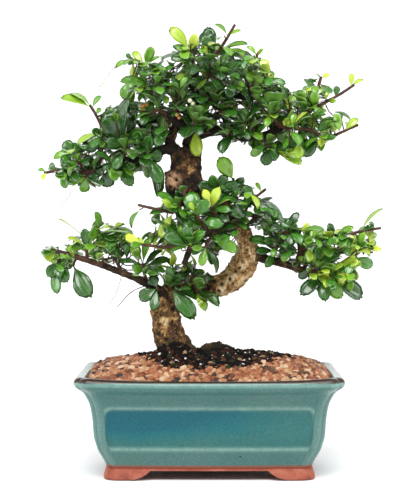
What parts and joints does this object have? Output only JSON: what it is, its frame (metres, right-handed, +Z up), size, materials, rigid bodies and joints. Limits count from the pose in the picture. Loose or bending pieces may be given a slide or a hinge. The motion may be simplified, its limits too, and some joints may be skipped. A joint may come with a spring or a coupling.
{
  "type": "potted bonsai tree",
  "caption": "Small-leaved evergreen bonsai with an S-curved trunk and spreading leaf pads, growing in gravel-topped soil in a low glazed rectangular pot with bracket feet.",
  "frame": {"origin": "centre of the whole object's footprint box, on the surface under the pot's feet", "axes": "+Z up; the front of the tree looks along -Y, +X to the right as seen from the front, along the pot's long side"},
  "size_m": [0.262, 0.152, 0.3472],
  "materials": {
    "glazed_stoneware": "gloss teal glaze over terracotta stoneware",
    "potting_soil": "matt damp crumb",
    "river_gravel": "matt pink and tan grains",
    "plastic_mesh": "moulded black mesh",
    "bark": "rough grey-brown bark",
    "foliage": "glossy waxy leaves"
  },
  "bodies": {
    "root": {"pot": "glazed_stoneware", "soil": "potting_soil", "gravel": "river_gravel", "drain_screen_left": "plastic_mesh", "drain_screen_right": "plastic_mesh", "trunk": "bark", "spray_low_left_outer": "foliage", "spray_right_rise": "foliage", "spray_right_outer": "foliage", "spray_left_outer": "foliage", "spray_crown_left_outer": "foliage", "spray_far_right_tips": "foliage", "spray_low_left_inner": "foliage", "spray_low_left_back": "foliage", "spray_low_mid_left": "foliage", "spray_low_mid": "foliage", "spray_low_mid_right": "foliage", "spray_low_mid_back": "foliage", "spray_centre_rosette": "foliage", "spray_centre_left": "foliage", "spray_centre_thin": "foliage", "spray_centre_big": "foliage", "spray_centre_young": "foliage", "spray_centre_top": "foliage", "spray_centre_pale": "foliage", "spray_centre_right": "foliage", "spray_centre_low": "foliage", "spray_centre_back_up": "foliage", "spray_centre_back_low": "foliage", "spray_centre_back_right": "foliage", "spray_right_long": "foliage", "spray_right_back": "foliage", "spray_right_back_low": "foliage", "spray_left_tower": "foliage", "spray_left_big": "foliage", "spray_left_down": "foliage", "spray_left_down_inner": "foliage", "spray_left_near": "foliage", "spray_left_back_near": "foliage", "spray_left_back_far": "foliage", "spray_crown_top_left": "foliage", "spray_crown_top": "foliage", "spray_crown_mid": "foliage", "spray_crown_right_a": "foliage", "spray_crown_right_b": "foliage", "spray_crown_right_c": "foliage", "spray_crown_front_a": "foliage", "spray_crown_front_b": "foliage", "spray_crown_front_c": "foliage", "spray_crown_back_left": "foliage", "spray_crown_back_right": "foliage", "spray_crown_back_top": "foliage", "spray_far_right_mid": "foliage", "spray_far_right_low": "foliage", "spray_right_under": "foliage", "spray_right_front": "foliage", "spray_right_front_far": "foliage", "spray_right_back_top": "foliage", "spray_right_back_far": "foliage"}
  },
  "joints": []
}
